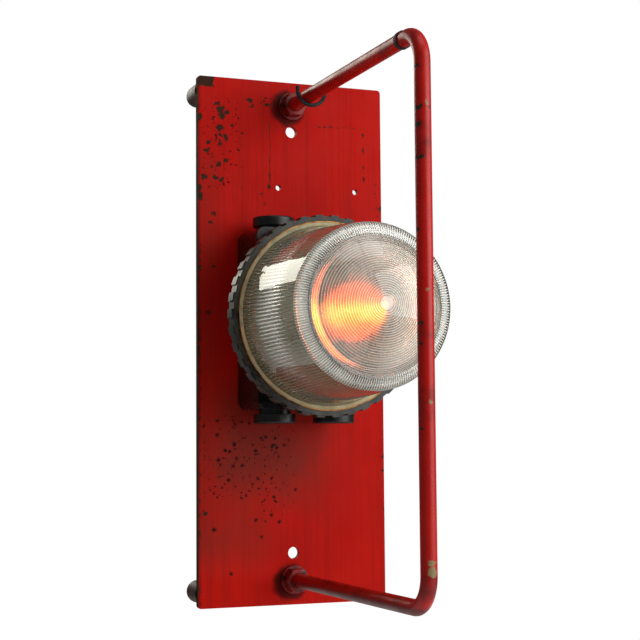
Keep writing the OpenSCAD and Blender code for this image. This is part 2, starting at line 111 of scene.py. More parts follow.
def add_softbox(name, azimuth, elevation, distance, width, height, watts, colour=(1, 1, 1)):
    """A rectangular light that faces the lamp. Sizes are in metres and angles in degrees."""
    data = bpy.data.lights.new(name, "AREA")
    data.shape = "RECTANGLE"
    data.size = width
    data.size_y = height
    data.energy = watts
    data.color = colour
    light = bpy.data.objects.new(name, data)
    aim = Vector((AXIS_X, FRONT_Y, AXIS_Z))
    light.location = look_from(azimuth, elevation, distance, aim)
    light.rotation_euler = (aim - light.location).to_track_quat("-Z", "Y").to_euler()
    bpy.context.collection.objects.link(light)


def add_world():
    """White behind the object and through its glass, and a dim grey for everything that reflects it."""
    world = bpy.data.worlds.new("studio")
    bpy.context.scene.world = world
    world.use_nodes = True
    tree = world.node_tree
    tree.nodes.clear()
    seen = tree.nodes.new("ShaderNodeBackground")
    seen.inputs["Color"].default_value = (1, 1, 1, 1)
    seen.inputs["Strength"].default_value = 1.0
    around = tree.nodes.new("ShaderNodeBackground")
    around.inputs["Color"].default_value = WORLD_GREY
    around.inputs["Strength"].default_value = WORLD_DIM
    path = tree.nodes.new("ShaderNodeLightPath")
    direct = tree.nodes.new("ShaderNodeMath")
    direct.operation = "MAXIMUM"
    mix = tree.nodes.new("ShaderNodeMixShader")
    out = tree.nodes.new("ShaderNodeOutputWorld")
    tree.links.new(path.outputs["Is Camera Ray"], direct.inputs[0])
    tree.links.new(path.outputs["Is Transmission Ray"], direct.inputs[1])
    tree.links.new(direct.outputs[0], mix.inputs["Fac"])
    tree.links.new(around.outputs["Background"], mix.inputs[1])
    tree.links.new(seen.outputs["Background"], mix.inputs[2])
    tree.links.new(mix.outputs["Shader"], out.inputs["Surface"])


def add_floor():
    """A plain pale floor well below the wall-hung lamp."""
    mesh = bpy.data.meshes.new("floor")
    floor_z = CAD_BOX[0][2] - FLOOR_DROP
    corners = [(x * FLOOR_HALF, y * FLOOR_HALF, floor_z) for x, y in ((-1, -1), (1, -1), (1, 1), (-1, 1))]
    mesh.from_pydata(corners, [], [(0, 1, 2, 3)])
    floor = bpy.data.objects.new("floor", mesh)
    bpy.context.collection.objects.link(floor)
    pale = bpy.data.materials.new("pale_floor")
    pale.use_nodes = True
    shader = pale.node_tree.nodes["Principled BSDF"]
    shader.inputs["Base Color"].default_value = (0.93, 0.93, 0.93, 1)
    shader.inputs["Roughness"].default_value = 0.9
    shader.inputs["Emission Color"].default_value = (1, 1, 1, 1)
    shader.inputs["Emission Strength"].default_value = 0.12
    mesh.materials.append(pale)


# ---------------------------------------------------------------- material graphs

def srgb(red, green, blue):
    """A colour given as 0 to 255 screen values, as the linear colour that a shader takes."""
    def linear(c):
        c /= 255
        return c / 12.92 if c <= 0.04045 else ((c + 0.055) / 1.055) ** 2.4
    return (linear(red), linear(green), linear(blue), 1)


class Finish:
    """A material's node graph, built from short calls. Coordinates are metres in the part's frame."""

    def __init__(self, name, **constants):
        self.material = bpy.data.materials.new(name)
        self.material.use_nodes = True
        self.tree = self.material.node_tree
        self.shader = self.tree.nodes["Principled BSDF"]
        for socket, value in constants.items():
            self.shader.inputs[socket.replace("_", " ")].default_value = value
        self.place = self.add("ShaderNodeTexCoord").outputs["Object"]

    def add(self, kind, **settings):
        """A new node with these settings."""
        node = self.tree.nodes.new(kind)
        for key, value in settings.items():
            setattr(node, key, value)
        return node

    def feed(self, socket, value):
        """Links a socket to an input, or sets the input to a constant."""
        if isinstance(value, bpy.types.NodeSocket):
            self.tree.links.new(value, socket)
        else:
            socket.default_value = value

    def math(self, operation, a, b=0.0, clamp=False):
        node = self.add("ShaderNodeMath", operation=operation, use_clamp=clamp)
        self.feed(node.inputs[0], a)
        self.feed(node.inputs[1], b)
        return node.outputs[0]

    def axes(self):
        """The place's x, y and z."""
        node = self.add("ShaderNodeSeparateXYZ")
        self.feed(node.inputs[0], self.place)
        return node.outputs

    def stretched(self, x, y, z):
        """The place with its axes scaled, which draws a pattern out along the smallest."""
        node = self.add("ShaderNodeMapping")
        self.feed(node.inputs["Vector"], self.place)
        node.inputs["Scale"].default_value = (x, y, z)
        return node.outputs[0]

    def noise(self, scale, detail=5.0, roughness=0.6, vector=None):
        node = self.add("ShaderNodeTexNoise")
        self.feed(node.inputs["Vector"], vector or self.place)
        node.inputs["Scale"].default_value = scale
        node.inputs["Detail"].default_value = detail
        node.inputs["Roughness"].default_value = roughness
        return node.outputs["Fac"]

    def nearest_spot(self, spots, jitter, scale):
        """Gap to the nearest of some (x, z, radius) spots on the plate's face, with a ragged outline."""
        ragged = self.add("ShaderNodeTexNoise")
        self.feed(ragged.inputs["Vector"], self.place)
        ragged.inputs["Scale"].default_value = scale
        ragged.inputs["Detail"].default_value = 3.0
        shift = self.vector("SUBTRACT", ragged.outputs["Color"], (0.5, 0.5, 0.5))
        shifted = self.vector("ADD", self.place, self.vector("MULTIPLY", shift, (jitter, 0.0, jitter)))
        flat = self.vector("MULTIPLY", shifted, (1.0, 0.0, 1.0))
        nearest = None
        for across, up, radius in spots:
            gap = self.add("ShaderNodeVectorMath", operation="DISTANCE")
            self.feed(gap.inputs[0], flat)
            gap.inputs[1].default_value = (across * MM, 0.0, up * MM)
            edge = self.math("SUBTRACT", gap.outputs["Value"], radius * MM)
            nearest = edge if nearest is None else self.math("MINIMUM", nearest, edge)
        return nearest

    def vector(self, operation, a, b):
        node = self.add("ShaderNodeVectorMath", operation=operation)
        self.feed(node.inputs[0], a)
        self.feed(node.inputs[1], b)
        return node.outputs[0]

    def lamp_axes(self):
        """Radius from the lamp's axis, and the part of a turn round it."""
        x, _, z = self.axes()
        across = self.math("SUBTRACT", x, AXIS_X)
        up = self.math("SUBTRACT", z, AXIS_Z)
        square = self.math("ADD", self.math("MULTIPLY", across, across), self.math("MULTIPLY", up, up))
        turn = self.math("DIVIDE", self.math("ARCTAN2", up, across), 2 * math.pi)
        return self.math("SQRT", square), turn

    def lines(self, value, width):
        """1 in the middle of each whole step of value, over that part of the step, and 0 between."""
        step = self.math("FRACT", value)
        return self.near(step, 0.5, width / 2, width / 2)

    def cloud(self, scale, detail, low, high, start=0.0, end=1.0):
        """Noise of that scale and detail, eased into soft patches."""
        return self.ease(self.noise(scale, detail), low, high, start, end)

    def ease(self, value, low, high, start=0.0, end=1.0):
        """start below low, end above high, and a smooth change between."""
        node = self.add("ShaderNodeMapRange", interpolation_type="SMOOTHSTEP")
        self.feed(node.inputs["Value"], value)
        node.inputs["From Min"].default_value = low
        node.inputs["From Max"].default_value = high
        node.inputs["To Min"].default_value = start
        node.inputs["To Max"].default_value = end
        return node.outputs["Result"]

    def mix(self, factor, a, b):
        """Colour a where factor is 0, and b where it is 1."""
        node = self.add("ShaderNodeMix", data_type="RGBA")
        self.feed(node.inputs[0], factor)
        self.feed(node.inputs[6], a)
        self.feed(node.inputs[7], b)
        return node.outputs[2]

    def either(self, *masks):
        """The strongest of several masks."""
        total = masks[0]
        for mask in masks[1:]:
            total = self.math("MAXIMUM", total, mask)
        return total

    def both(self, a, b):
        """One mask within another."""
        return self.math("MULTIPLY", a, b)

    def near(self, value, centre, reach, blur):
        """1 where value is within reach of centre, falling to 0 over blur."""
        gap = self.math("ABSOLUTE", self.math("SUBTRACT", value, centre))
        return self.ease(gap, reach, reach + blur, 1.0, 0.0)

    def colour(self, value):
        self.feed(self.shader.inputs["Base Color"], value)

    def roughness(self, value):
        self.feed(self.shader.inputs["Roughness"], value)

    def bump(self, height, strength, distance):
        node = self.add("ShaderNodeBump")
        node.inputs["Strength"].default_value = strength
        node.inputs["Distance"].default_value = distance
        self.feed(node.inputs["Height"], height)
        self.feed(self.shader.inputs["Normal"], node.outputs["Normal"])


RED = srgb(186, 16, 6)
RED_DEEP = srgb(140, 19, 10)
RED_BRIGHT = srgb(200, 20, 8)
# A dark red for grime, and for painted shade under the guard and round its nuts
RED_GRIME_AND_SHADE = srgb(62, 9, 6)
RED_BROWN = srgb(118, 42, 32)
PIT = srgb(34, 9, 7)
BARE = srgb(50, 42, 34)
BARE_PALE = srgb(96, 84, 66)
RUST = srgb(70, 36, 20)


def red_base(finish):
    """Old red enamel before its damage: uneven tone and the fine upright streaks of a brush."""
    tone = finish.cloud(7.0, 4.0, 0.35, 0.65)
    brushed = finish.noise(60.0, 5.0, 0.65, finish.stretched(1.0, 1.0, 0.07))
    streaks = finish.noise(430.0, 3.0, 0.5, finish.stretched(1.0, 1.0, 0.02))
    red = finish.mix(tone, RED, RED_BRIGHT)
    red = finish.mix(finish.ease(brushed, 0.48, 0.78, 0.0, 0.5), red, RED_DEEP)
    return finish.mix(finish.ease(streaks, 0.46, 0.68, 0.0, 0.26), red, RED_DEEP)


def chipped(finish, red, worn, gloss=0.34):
    """Puts the damage over the red, and gives the roughness and relief that go with it."""
    blotch = finish.noise(420.0, 4.0)
    bare = finish.mix(finish.ease(blotch, 0.42, 0.6), BARE, RUST)
    bare = finish.mix(finish.cloud(700.0, 3.0, 0.62, 0.7, 0.0, 0.7), bare, BARE_PALE)
    finish.colour(finish.mix(worn, red, bare))
    dull = finish.cloud(45.0, 5.0, 0.3, 0.75, gloss, gloss + 0.16)
    finish.roughness(finish.math("ADD", dull, finish.math("MULTIPLY", worn, 0.25)))
    ripple = finish.math("MULTIPLY", finish.noise(140.0, 4.0), 0.3)
    finish.bump(finish.math("SUBTRACT", ripple, worn), 0.4, 0.4 * MM)


def scratch(finish, across, centre, along, middle, half, seed, least=-0.2):
    """A scraped line: across is the coordinate it crosses, along the one it runs in."""
    ragged = finish.noise(150.0 + seed, 5.0, 0.7)
    drift = finish.math("MULTIPLY", finish.math("SUBTRACT", finish.noise(22.0 + seed, 2.0), 0.5), 3 * MM)
    gap = finish.math("ABSOLUTE", finish.math("SUBTRACT", finish.math("ADD", across, drift), centre))
    width = finish.ease(ragged, 0.45, 0.72, least * MM, 1.7 * MM)
    line = finish.ease(finish.math("SUBTRACT", gap, width), -0.15 * MM, 0.25 * MM, 1.0, 0.0)
    return finish.both(line, finish.near(along, middle, half, 2 * MM))


def patch(finish, x, z, centre_x, centre_z, half_x, half_z, blur):
    """1 within a patch of the plate, falling to 0 over blur."""
    return finish.both(finish.near(x, centre_x * MM, half_x * MM, blur * MM),
                       finish.near(z, centre_z * MM, half_z * MM, blur * MM))


# Chips in the plate's paint, as (across, up, radius) in millimetres from the plate's middle
CHIPS_AT_TOP = ((-38, 207, 1.7), (-36, 202, 1.4), (-25, 207, 1.2), (-22, 204, 1.8), (-17, 203, 1))
CHIPS_UPPER_LEFT = ((-65, 197, 3), (-63, 192, 3), (-58, 195, 1.6), (-68, 201, 1.5), (-65, 181, 3),
                    (-65, 175, 1.6), (-60, 173, 2), (-54, 183, 1.3), (-44, 177, 1.1), (-79, 175, 1),
                    (-77, 161, 2.2), (-74, 163, 1.2), (-75, 168, 1.3), (-65, 168, 1.7))
CHIPS_LEFT = ((-66, 149, 2.5), (-60, 153, 1.3), (-72, 147, 1.3), (-79, 138, 2.6), (-70, 137, 2),
              (-64, 137, 2.4), (-73, 99, 1.4), (-71, 107, 1.3), (-71, 62, 1.2), (-76, 22, 1.1),
              (-79, -146, 2))
CHIPS_BY_SIGN = ((-27, 126, 1.2), (-25, 117, 1.2), (-21, 133, 1.9))
CHIPS_ON_EDGES = ((-84, 189, 3.2), (-84.5, 128, 3.4), (-84.5, 121, 3.6), (-84.5, 60, 2.2), (-84.5, -8, 1.8),
                  (84, 118, 2.4), (84, 96, 1.8), (84.5, -101, 1.2), (84.5, -113, 1.4), (85, -147, 1.8),
                  (85, -156, 1.4))
CHIPS = CHIPS_AT_TOP + CHIPS_UPPER_LEFT + CHIPS_LEFT + CHIPS_BY_SIGN + CHIPS_ON_EDGES

# Dark rings round the guard's two nuts, painted shade where they meet the plate together with dirt, in the
# same form
NUT_SHADE_AND_GRIME = ((-3, 202, 12.5), (-3, -206, 12))

# Small round pits below the lamp, in the same form
PITS = ((-68, -69, 0.9), (-68, -81, 0.9), (-53, -89, 1.3), (-61, -94, 1.1), (-57, -95, 1),
        (-67, -102, 1.1), (-51, -101, 0.9), (-54, -107, 1), (-46, -107, 1), (-58, -119, 1.1),
        (-25, -83, 0.9), (-29, -84, 0.8), (-34, -95, 1.1), (-15, -92, 1), (-19, -91, 1),
        (-8, -90, 0.9), (-32, -118, 0.9), (-18, -134, 0.9), (-20, -149, 0.9), (-13, -155, 0.9),
        (-34, -153, 1), (-71, -160, 1.1), (2, -128, 0.8), (-29, -167, 0.8), (-56, -197, 1))

# Areas with many small specks: middle across and up, half width and height, and blur, in millimetres
SPECKLED = ((-62, 168, 14, 34, 16), (-45, -100, 26, 26, 26), (-20, 206, 16, 3, 10), (-14, -112, 10, 36, 16),
            (83, 110, 3, 30, 6))

# The upper left corner's bare patch, and the scraped outline of a lost sign, in millimetres
BARE_CORNER_W, BARE_CORNER_H = 15, 9.5
SIGN_LEFT, SIGN_RIGHT, SIGN_LOW, SIGN_HIGH = -20, 68, 131, 188


def plate_red():
    """The plate: worn edges, a bare corner, clustered chips and the scraped outline of a lost sign."""
    finish = Finish("plate_red", Specular_IOR_Level=0.06)
    x, y, z = finish.axes()
    half_w, half_h = PLATE_HIGH.x, PLATE_HIGH.z
    front = finish.ease(y, FRONT_Y + 1 * MM, FRONT_Y + 3 * MM, 1.0, 0.0)
    ragged = finish.noise(140.0, 6.0, 0.7)
    from_left = finish.math("ADD", x, half_w)
    from_top = finish.math("SUBTRACT", half_h, z)
    reach = finish.math("MULTIPLY", finish.ease(ragged, 0.5, 0.75), 3.4 * MM)
    worn_gap = finish.math("SUBTRACT", from_left, reach)
    edge = finish.ease(worn_gap, 0.2 * MM, 0.6 * MM, 1.0, 0.0)

    # The upper left corner has lost its paint
    jag = finish.math("MULTIPLY", finish.math("SUBTRACT", finish.noise(160.0, 5.0, 0.7), 0.5), 10 * MM)
    corner_x = finish.math("ADD", finish.math("SUBTRACT", from_left, BARE_CORNER_W * MM), jag)
    corner_z = finish.math("ADD", finish.math("SUBTRACT", from_top, BARE_CORNER_H * MM), jag)
    corner = finish.ease(finish.math("MAXIMUM", corner_x, corner_z), -0.3 * MM, 0.3 * MM, 1.0, 0.0)

    # Chips have ragged outlines, and small specks crowd round them
    chip_gap = finish.nearest_spot(CHIPS, 8 * MM, 300.0)
    pit_gap = finish.nearest_spot(PITS, 2.6 * MM, 500.0)
    nut_gap = finish.nearest_spot(NUT_SHADE_AND_GRIME, 6 * MM, 120.0)
    crowd = finish.either(*(patch(finish, x, z, *area) for area in SPECKLED))
    limit = finish.ease(crowd, 0.0, 1.0, 0.84, 0.64)
    speck = finish.math("SUBTRACT", finish.noise(330.0, 3.0, 0.55), limit)
    chips = finish.ease(chip_gap, -0.3 * MM, 0.2 * MM, 1.0, 0.0)
    pits = finish.either(finish.ease(pit_gap, -0.3 * MM, 0.3 * MM, 1.0, 0.0),
                         finish.ease(speck, 0.0, 0.02, 0.0, 0.9))

    # Scraped outline where a sign was fixed
    sign_middle = (SIGN_LOW + SIGN_HIGH) / 2 * MM
    sign_half = (SIGN_HIGH - SIGN_LOW) / 2 * MM
    left_line = scratch(finish, x, SIGN_LEFT * MM, z, sign_middle, sign_half, 3, 0.2)
    right_line = scratch(finish, x, SIGN_RIGHT * MM, z, 163 * MM, 21 * MM, 11)
    top_line = scratch(finish, z, SIGN_HIGH * MM, x, 36 * MM, 12 * MM, 29)
    faint_line = scratch(finish, z, (SIGN_HIGH + 1) * MM, x, 20 * MM, 48 * MM, 47)
    scrapes = finish.either(finish.math("MULTIPLY", left_line, 0.75), right_line, top_line,
                            finish.math("MULTIPLY", faint_line, 0.35))

    red = red_base(finish)

    # A paler brown haze below the lamp, up the left side and at the lower left
    below_lamp = patch(finish, x, z, -30, -90, 30, 16, 60)
    left_side = finish.math("MULTIPLY", patch(finish, x, z, -76, 30, 2, 120, 16), 0.4)
    lower_left = finish.math("MULTIPLY", patch(finish, x, z, -60, -130, 20, 40, 40), 0.6)
    uneven = finish.cloud(16.0, 4.0, 0.3, 0.6, 0.45, 0.8)
    haze = finish.both(finish.either(below_lamp, left_side, lower_left), uneven)
    red = finish.mix(finish.both(front, haze), red, RED_BROWN)

    # Dark rims round every kind of damage, and round the guard's two nuts a ring of painted shade mixed with
    # dirt
    halo = finish.ease(worn_gap, 0.8 * MM, 3 * MM, 0.5, 0.0)
    grime = finish.either(finish.ease(pit_gap, 0.0, 1.6 * MM, 0.6, 0.0),
                          finish.ease(chip_gap, 0.0, 0.8 * MM, 0.5, 0.0),
                          finish.ease(speck, -0.03, 0.0, 0.0, 0.5),
                          finish.ease(nut_gap, 0.0, 6 * MM, 0.9, 0.0))
    red = finish.mix(finish.either(halo, finish.both(front, grime)), red, RED_GRIME_AND_SHADE)
    red = finish.mix(finish.both(front, pits), red, PIT)

    # The back has no chips of its own, only spots of rust
    rust = finish.ease(finish.noise(60.0, 6.0, 0.7), 0.62, 0.66, 0.0, 0.8)
    behind = finish.both(rust, finish.ease(y, PLATE_HIGH.y - 1 * MM, PLATE_HIGH.y - 0.3 * MM))
    damage = finish.both(front, finish.either(chips, scrapes))
    chipped(finish, red, finish.either(edge, corner, damage, behind), 0.42)
    return finish.material


# Struck and rubbed places on the guard's upright, as (across, up, radius) in millimetres
GUARD_CHIPS = ((-5.6, 147, 1.9), (-5.8, 134, 2.2), (2.5, 147, 1.2), (-5.8, -6, 1.5), (-5, -20, 1.5),
               (-5.6, -80, 1.4), (-5.6, 60, 1.5), (-5.8, 112, 1.9), (-5.4, 176, 1.7))
GUARD_RUBS = ((-0.5, -171, 2.6), (-0.2, -177.5, 3.2), (0.5, -60, 1.3), (0, 18, 1.3), (0.5, 150, 1.4))
RUBBED_PRIMER = srgb(142, 126, 84)


def guard_red():
    """The guard: the same enamel, struck and rubbed through in places, with painted shade underneath."""
    finish = Finish("guard_red", Specular_IOR_Level=0.35)
    _, y, z = finish.axes()
    upright = finish.ease(y, GUARD_LOW.y + 12 * MM, GUARD_LOW.y + 16 * MM, 1.0, 0.0)
    specks = finish.noise(150.0, 4.0, 0.6)
    sparse = finish.cloud(14.0, 3.0, 0.5, 0.66)
    limit = finish.ease(sparse, 0.0, 1.0, 0.8, 0.66)
    chip_gap = finish.nearest_spot(GUARD_CHIPS, 9 * MM, 200.0)
    rub_gap = finish.nearest_spot(GUARD_RUBS, 7 * MM, 260.0)
    struck = finish.either(finish.ease(finish.math("SUBTRACT", specks, limit), 0.0, 0.015),
                           finish.both(upright, finish.ease(chip_gap, -0.3 * MM, 0.3 * MM, 1.0, 0.0)))
    rubbed = finish.both(upright, finish.ease(rub_gap, -0.4 * MM, 0.6 * MM, 1.0, 0.0))
    red = red_base(finish)
    grime = finish.cloud(30.0, 5.0, 0.48, 0.7, 0.0, 0.65)
    red = finish.mix(grime, red, RED_GRIME_AND_SHADE)
    # Painted shade: the lowest part of the rod, under its lower bend, is darkened
    low = finish.ease(z, GUARD_LOW.z + 4 * MM, GUARD_LOW.z + 9 * MM, 0.8, 0.0)
    red = finish.mix(low, red, RED_GRIME_AND_SHADE)
    bare = finish.mix(finish.cloud(420.0, 4.0, 0.42, 0.6), BARE, RUST)
    red = finish.mix(struck, red, bare)
    finish.colour(finish.mix(rubbed, red, RUBBED_PRIMER))
    finish.roughness(finish.cloud(45.0, 5.0, 0.3, 0.75, 0.3, 0.46))
    ripple = finish.math("MULTIPLY", finish.noise(70.0, 3.0), 0.3)
    finish.bump(finish.math("SUBTRACT", ripple, struck), 0.2, 0.3 * MM)
    return finish.material


def hardware_red():
    """Nuts and washers under many coats of paint, darker in cloudy patches."""
    finish = Finish("hardware_red", Specular_IOR_Level=0.35)
    grime = finish.cloud(120.0, 5.0, 0.4, 0.65)
    red = finish.mix(grime, srgb(140, 16, 10), srgb(52, 7, 5))
    specks = finish.cloud(260.0, 4.0, 0.68, 0.72)
    chipped(finish, red, specks)
    return finish.material


def peg_brown():
    """The pegs: dark varnish-like paint, rubbed to a pale metal."""
    finish = Finish("peg_brown", Specular_IOR_Level=0.3)
    cloudy = finish.noise(60.0, 5.0)
    base = finish.mix(finish.ease(cloudy, 0.35, 0.6), srgb(34, 18, 15), srgb(72, 38, 26))
    rubbed = finish.ease(finish.noise(140.0, 6.0, 0.7), 0.56, 0.68, 0.0, 0.8)
    finish.colour(finish.mix(rubbed, base, srgb(122, 92, 64)))
    finish.roughness(finish.ease(cloudy, 0.3, 0.7, 0.42, 0.6))
    finish.bump(finish.noise(220.0, 4.0), 0.25, 0.3 * MM)
    return finish.material


def phenolic(name, dark, dusty, dust_from, gloss):
    """Aged black moulding, with dust in a cloudy layer and faint flow marks."""
    finish = Finish(name, Specular_IOR_Level=0.5)
    cloud = finish.ease(finish.noise(38.0, 6.0, 0.65), dust_from, dust_from + 0.3)
    finish.colour(finish.mix(cloud, dark, dusty))
    finish.roughness(finish.cloud(70.0, 5.0, 0.3, 0.7, gloss, gloss + 0.2))
    finish.bump(finish.noise(260.0, 4.0), 0.18, 0.25 * MM)
    return finish.material


def rubber(name, base, pale):
    """Dull rubber with a paler bloom."""
    finish = Finish(name)
    finish.colour(finish.mix(finish.cloud(90.0, 5.0, 0.35, 0.7), base, pale))
    finish.roughness(finish.cloud(120.0, 4.0, 0.3, 0.7, 0.6, 0.85))
    finish.bump(finish.noise(500.0, 3.0), 0.3, 0.2 * MM)
    return finish.material


def metal(name, base, stain, roughness):
    """Bare metal, stained in patches."""
    finish = Finish(name, Metallic=1.0)
    tarnish = finish.cloud(110.0, 5.0, 0.4, 0.68)
    finish.colour(finish.mix(tarnish, base, stain))
    finish.roughness(finish.cloud(180.0, 4.0, 0.3, 0.7, roughness, roughness + 0.22))
    finish.bump(finish.noise(420.0, 3.0), 0.15, 0.15 * MM)
    return finish.material


def porcelain():
    """Glazed white porcelain, yellowed in patches."""
    finish = Finish("porcelain", Coat_Weight=0.6, Coat_Roughness=0.08)
    stain = finish.cloud(50.0, 5.0, 0.5, 0.75, 0.0, 0.6)
    finish.colour(finish.mix(stain, srgb(232, 226, 208), srgb(176, 158, 124)))
    finish.roughness(finish.cloud(80.0, 3.0, 0.3, 0.7, 0.15, 0.3))
    finish.bump(finish.noise(90.0, 2.0), 0.1, 0.3 * MM)
    return finish.material


def insulation(name, base):
    """A wire's plastic covering."""
    finish = Finish(name)
    dull = tuple(0.55 * channel for channel in base[:3]) + (1,)
    finish.colour(finish.mix(finish.cloud(160.0, 4.0, 0.35, 0.7), base, dull))
    finish.roughness(finish.cloud(200.0, 3.0, 0.3, 0.7, 0.4, 0.6))
    finish.bump(finish.noise(600.0, 2.0), 0.2, 0.1 * MM)
    return finish.material


def lantern_glass():
    """The smooth outside of old pressed glass: clear, with a little grime in a thin film."""
    finish = Finish("lantern_glass", Transmission_Weight=1.0, IOR=1.5)
    film = finish.cloud(28.0, 5.0, 0.4, 0.75)
    finish.colour(finish.mix(film, (0.96, 0.97, 0.93, 1), (0.88, 0.89, 0.82, 1)))
    finish.roughness(finish.cloud(60.0, 5.0, 0.35, 0.75, 0.0, 0.05))
    finish.bump(finish.noise(35.0, 3.0), 0.08, 0.4 * MM)
    return finish.material


def moulded_glass(name, clear, pale, groove_shade, steps, width, roughness, glow):
    """The moulded inside of the glass, given a painted glow: it gives off light of its own, standing in for
    the lit bulb's light scattered through it.

    steps(finish, radius, turn) counts its flutes, and painted shade darkens that width of each, standing in
    for the dark lines that the ribs show through the glass."""
    # Painted glow: the inside gives off light of its own, standing in for the bulb's light scattered through
    # the glass
    finish = Finish(name, Transmission_Weight=clear, IOR=1.5, Emission_Strength=glow)
    radius, turn = finish.lamp_axes()
    groove = finish.lines(steps(finish, radius, turn), width)
    uneven = finish.cloud(30.0, 4.0, 0.3, 0.7, 0.7, 1.0)
    ledge = finish.near(radius, (LENS_R + LEDGE_R) / 2, 0.9 * MM, 1.2 * MM)
    past_boss = finish.ease(radius, BOSS_R - 0.2 * MM, BOSS_R + 0.2 * MM)
    # Painted shade: dark lines along the grooves, standing in for those the ribs show through the glass, and
    # a dark ring round the lens's ledge
    painted_groove_and_ledge_shade = finish.either(finish.both(past_boss, finish.both(groove, uneven)),
                         finish.math("MULTIPLY", ledge, 0.85))
    tone = finish.mix(painted_groove_and_ledge_shade, pale, groove_shade)
    finish.colour(tone)
    # The painted glow takes the surface's own colour, so the painted shade in the grooves glows less
    finish.feed(finish.shader.inputs["Emission Color"], tone)
    finish.roughness(finish.cloud(90.0, 4.0, 0.3, 0.7, roughness, roughness + 0.12))
    finish.bump(finish.noise(160.0, 3.0), 0.1, 0.3 * MM)
    return finish.material


def rib_steps(finish, _radius, turn):
    """Counts the ribs along the wall."""
    return finish.math("MULTIPLY", turn, RIBS)


def tooth_steps(finish, _radius, turn):
    """Counts the teeth round the shoulder."""
    return finish.math("MULTIPLY", turn, TEETH)


def ring_steps(finish, radius, _turn):
    """Counts the lens's rings outwards from its boss."""
    return finish.math("DIVIDE", finish.math("SUBTRACT", radius, BOSS_R), LENS_PITCH)


def thin_glass():
    """The bulb's envelope, lit from inside: hottest below its middle and dull towards its top."""
    finish = Finish("thin_glass", Transmission_Weight=0.6, IOR=1.15, Emission_Strength=1.8)
    glow = finish.noise(24.0, 3.0)
    finish.colour(finish.mix(glow, (1.0, 0.62, 0.3, 1), (1.0, 0.5, 0.2, 1)))
    finish.roughness(finish.ease(glow, 0.3, 0.7, 0.15, 0.3))
    _, _, z = finish.axes()
    up = finish.math("SUBTRACT", z, AXIS_Z)
    wavy = finish.math("ADD", up, finish.math("MULTIPLY", finish.math("SUBTRACT", glow, 0.5), 20 * MM))
    hot = finish.near(wavy, -5 * MM, 4 * MM, 11 * MM)
    lit = finish.mix(hot, srgb(255, 98, 4), srgb(255, 186, 52))
    dull = finish.ease(wavy, 4 * MM, 18 * MM)
    lit = finish.mix(dull, lit, srgb(120, 62, 40))
    finish.feed(finish.shader.inputs["Emission Color"], lit)
    return finish.material


def hot_wire():
    """The glowing filament."""
    finish = Finish("hot_wire", Emission_Strength=45.0)
    finish.colour(finish.mix(finish.noise(300.0), srgb(255, 170, 80), srgb(255, 200, 120)))
    lit = finish.mix(finish.noise(200.0), srgb(255, 150, 60), srgb(255, 190, 110))
    finish.feed(finish.shader.inputs["Emission Color"], lit)
    return finish.material


# ---------------------------------------------------------------- pieces

def body_name(node):
    """The body that a CAD node belongs to."""
    for body, members in frame["record"]["behaviour"]["bodies"].items():
        if node in members:
            return body
    return "root"


def paint_node(node, material):
    """Gives a CAD node that stays as it is a finish of its own."""
    slots = frame["nodes"][node].data.materials
    if len(slots) == 0:
        slots.append(material)
    for index in range(len(slots)):
        slots[index] = material


def show(mesh, name, materials, *nodes):
    """Makes a mesh, with its one or several materials, the visible piece for some CAD nodes."""
    piece = bpy.data.objects.new(name, mesh)
    bpy.context.collection.objects.link(piece)
    for material in materials:
        mesh.materials.append(material)
    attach(piece, body_name(nodes[0]))
    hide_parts(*nodes)
    return piece


SHARP_ANGLE = math.radians(32)


def shade(work, mesh):
    """Smooth shading that keeps real corners crisp."""
    for face in work.faces:
        face.smooth = True
    for edge in work.edges:
        edge.smooth = len(edge.link_faces) == 2 and edge.calc_face_angle(0.0) < SHARP_ANGLE
    work.to_mesh(mesh)
    work.free()


def soften(node, width, material, steps=2):
    """A copy of a CAD node whose corners are rounded, as paint or moulding leaves them."""
    work = bmesh.new()
    work.from_mesh(frame["nodes"][node].data)
    bmesh.ops.remove_doubles(work, verts=work.verts, dist=0.002 * MM)
    bmesh.ops.dissolve_limit(work, angle_limit=math.radians(0.5), verts=work.verts, edges=work.edges)
    corners = [e for e in work.edges if len(e.link_faces) == 2 and e.calc_face_angle(0.0) > SHARP_ANGLE]
    bmesh.ops.bevel(work, geom=corners, offset=width, segments=steps, profile=0.6, affect="EDGES",
                    clamp_overlap=True)
    bmesh.ops.triangulate(work, faces=[f for f in work.faces if len(f.verts) > 4])
    mesh = bpy.data.meshes.new("soft_" + node)
    shade(work, mesh)
    piece = show(mesh, "soft_" + node, [material], node)
    piece.modifiers.new("even_shading", "WEIGHTED_NORMAL").keep_sharp = True
    return piece


def lamp_point(radius, angle, depth):
    """A point at a radius and angle round the lamp's axis, and a depth in front of the plate."""
    return (AXIS_X + radius * math.cos(angle), FRONT_Y - depth, AXIS_Z + radius * math.sin(angle))


def join_rings(work, low, high, zone=0):
    """Faces between two rings, which may have different numbers of points, or be a single point."""
    if len(low) == 1 and len(high) == 1:
        return
    count = min(n for n in (len(low), len(high)) if n > 1)
    for index in range(count):
        a = span(low, index, count)
        b = span(high, index, count)
        work.faces.new(a + b[::-1]).material_index = zone


def span(ring, index, count):
    """The points of a ring along one of count equal stretches, both ends included."""
    if len(ring) == 1:
        return [ring[0]]
    step = len(ring) // count
    return [ring[(index * step + k) % len(ring)] for k in range(step + 1)]


# ---------------------------------------------------------------- lantern glass

